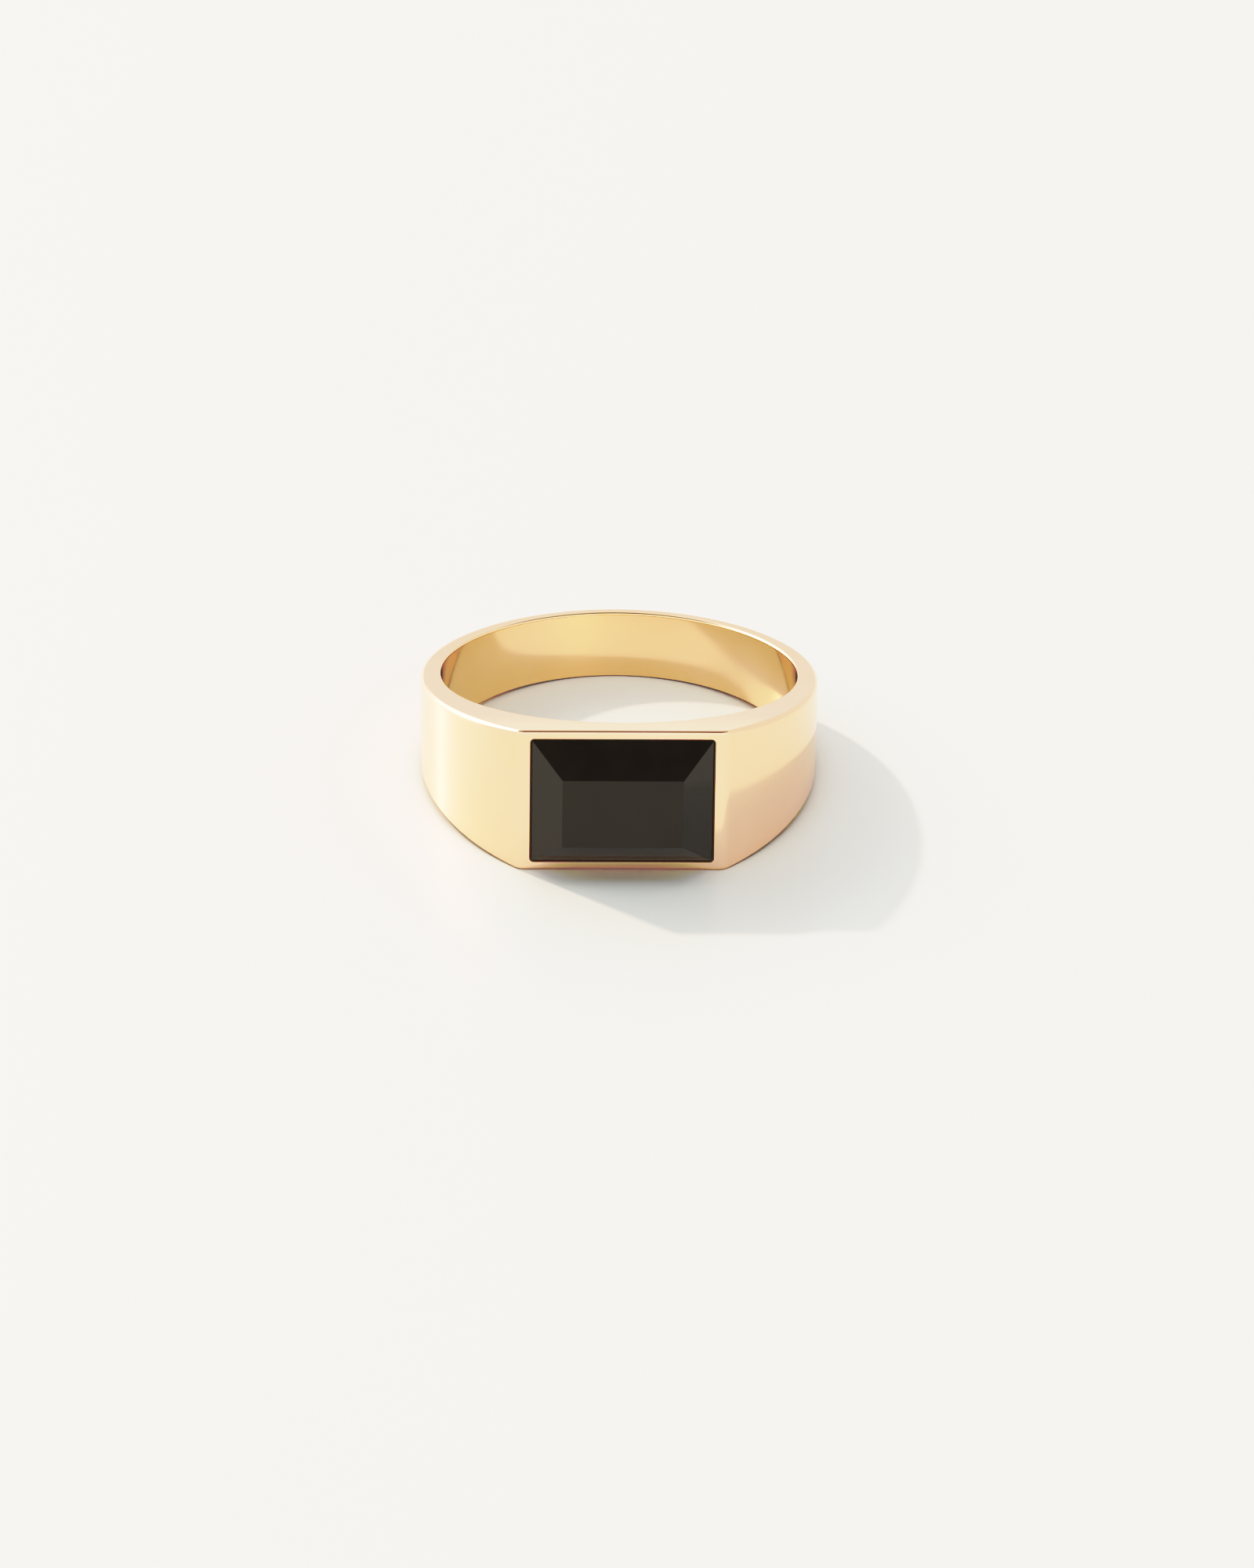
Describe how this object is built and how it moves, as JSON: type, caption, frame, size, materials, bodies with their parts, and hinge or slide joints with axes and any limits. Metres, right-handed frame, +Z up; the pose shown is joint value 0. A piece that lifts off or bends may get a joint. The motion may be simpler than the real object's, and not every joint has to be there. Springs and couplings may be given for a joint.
{
  "type": "signet ring",
  "caption": "Signet ring lying on its side: a polished yellow-gold band tapering to the back, with a flat rectangular head holding a black step-cut stone.",
  "frame": {"origin": "middle of the bounding box in X and Y, at the level of the surface that the ring lies on", "axes": "+Z up, away from the surface; the stone's face looks along -Y and slightly up; +X runs across the face. The finger bore leans 5.7 degrees back from +Z, towards +Y, because the ring rests on the lower edge of its head and on the lower edge at the back of its band"},
  "size_m": [0.0202, 0.0226, 0.0076],
  "materials": {
    "gold": "polished yellow gold, with fine handling scratches",
    "onyx": "polished black onyx, opaque, with crisp facet edges",
    "cement": "dark brown hardened jeweller's cement"
  },
  "bodies": {
    "root": {"ring_body": "gold", "setting_cement": "cement", "stone": "onyx"}
  },
  "joints": []
}
